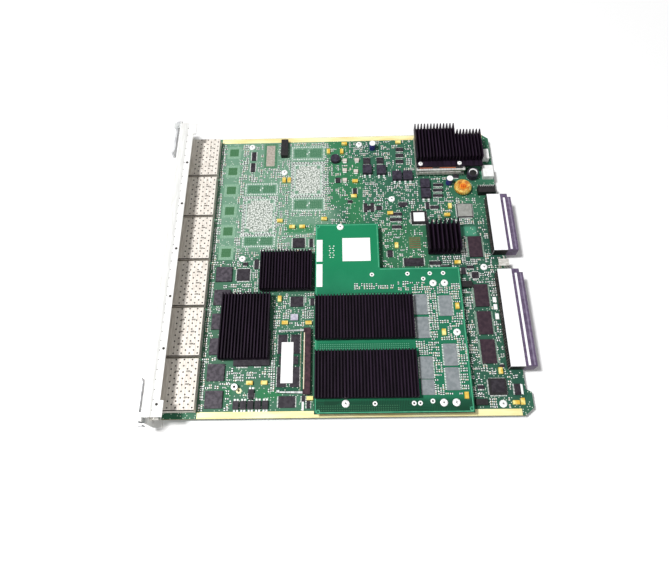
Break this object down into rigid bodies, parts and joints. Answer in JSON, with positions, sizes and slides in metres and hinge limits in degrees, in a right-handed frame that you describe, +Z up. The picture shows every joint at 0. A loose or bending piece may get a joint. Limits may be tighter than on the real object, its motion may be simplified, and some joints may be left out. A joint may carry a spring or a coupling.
{
  "type": "switch line card",
  "caption": "Plug-in switch line card: board on a folded carrier, ganged module cages behind the faceplate, finned heat sinks, stacked daughter board and backplane connectors.",
  "frame": {"origin": "under the middle of the card, on the plane of the carrier's floor", "axes": "+X from the faceplate to the backplane connectors, +Y from the near long edge to the far one, +Z up from the board's component side"},
  "size_m": [0.4236, 0.391, 0.0412],
  "materials": {
    "plated_steel": "zinc-plated sheet, satin",
    "cage_tin": "bright tinned sheet",
    "spring_metal": "bright spring strip",
    "lever_metal": "satin",
    "screw_nickel": "nickel-plated",
    "board_green": "green solder mask over laminate",
    "daughter_green": "saturated green solder mask",
    "module_green": "green solder mask",
    "sink_black": "black anodised",
    "package_black": "moulded black",
    "package_brown": "moulded dark brown",
    "package_grey": "grey array package",
    "moulded_black": "moulded black",
    "latch_metal": "spring steel",
    "clear_plastic": "clear moulded",
    "connector_plate": "bright plated shield",
    "connector_plum": "grey-plum moulded",
    "capacitor_yellow": "yellow moulded case",
    "capacitor_blue": "indigo sleeve, white top",
    "coil_orange": "enamelled copper winding",
    "coil_dark": "dark ferrite",
    "converter_metal": "base plate and board",
    "terminal_white": "white moulded"
  },
  "bodies": {
    "card": {"bus_connector_housing": "connector_plum", "bus_connector_shell": "connector_plate", "bus_drivers": "package_brown", "bus_heat_sink": "sink_black", "captive_sleeves": "screw_nickel", "carrier_tray": "plated_steel", "connector_bands": "spring_metal", "converter_heat_sink": "sink_black", "daughter_board": "daughter_green", "daughter_memory": "package_grey", "daughter_standoffs": "plated_steel", "electrolytic_capacitors": "capacitor_blue", "fabric_connector_housing": "connector_plum", "fabric_connector_shell": "connector_plate", "faceplate": "plated_steel", "filters": "moulded_black", "forwarding_heat_sink": "sink_black", "guide_socket": "screw_nickel", "headers": "moulded_black", "inductors": "coil_dark", "lever_brackets": "plated_steel", "lever_pins": "plated_steel", "light_pipes": "clear_plastic", "logic_chips": "package_black", "main_board": "board_green", "memory_chips": "package_black", "memory_module": "module_green", "memory_socket": "moulded_black", "module_cage_1": "cage_tin", "module_cage_2": "cage_tin", "module_cage_3": "cage_tin", "module_cage_4": "cage_tin", "module_cage_5": "cage_tin", "module_cage_6": "cage_tin", "moulded_capacitors": "capacitor_yellow", "mouth_gaskets": "spring_metal", "policy_heat_sink": "sink_black", "port_drivers": "package_black", "port_heat_sink": "sink_black", "port_sockets": "moulded_black", "power_converter": "converter_metal", "power_terminals": "terminal_white", "processors": "package_black", "queue_heat_sink": "sink_black", "rom_chips": "package_black", "rom_sockets": "moulded_black", "round_chokes": "coil_dark", "stacking_connectors": "moulded_black", "switch_chips": "package_black", "top_gasket": "spring_metal", "toroid_choke": "coil_orange", "tray_standoffs": "plated_steel"},
    "captive_screw_near": {"captive_screw_near": "screw_nickel"},
    "captive_screw_far": {"captive_screw_far": "screw_nickel"},
    "ejector_lever_near": {"ejector_lever_near": "lever_metal"},
    "ejector_lever_far": {"ejector_lever_far": "lever_metal"},
    "memory_latch_near": {"memory_latch_near": "latch_metal"},
    "memory_latch_far": {"memory_latch_far": "latch_metal"}
  },
  "joints": [
    {"name": "lever_near_swing", "type": "hinge", "parent": "card", "child": "ejector_lever_near", "pos_m": [-0.20775, -0.187, 0.0299], "axis": [0, 0, 1], "range_deg": [0, 50]},
    {"name": "lever_far_swing", "type": "hinge", "parent": "card", "child": "ejector_lever_far", "pos_m": [-0.20775, 0.187, 0.0299], "axis": [0, 0, -1], "range_deg": [0, 50]},
    {"name": "captive_near_draw", "type": "slide", "parent": "card", "child": "captive_screw_near", "axis": [-1, 0, 0], "range_m": [0, 0.005]},
    {"name": "captive_far_draw", "type": "slide", "parent": "card", "child": "captive_screw_far", "axis": [-1, 0, 0], "range_m": [0, 0.005]},
    {"name": "latch_near_spread", "type": "hinge", "parent": "card", "child": "memory_latch_near", "pos_m": [-0.03585, -0.1592, 0.0117], "axis": [0, 0, 1], "range_deg": [0, 5], "stiffness_Nm_per_rad": 0.05},
    {"name": "latch_far_spread", "type": "hinge", "parent": "card", "child": "memory_latch_far", "pos_m": [-0.03585, -0.0872, 0.0117], "axis": [0, 0, -1], "range_deg": [0, 5], "stiffness_Nm_per_rad": 0.05}
  ]
}
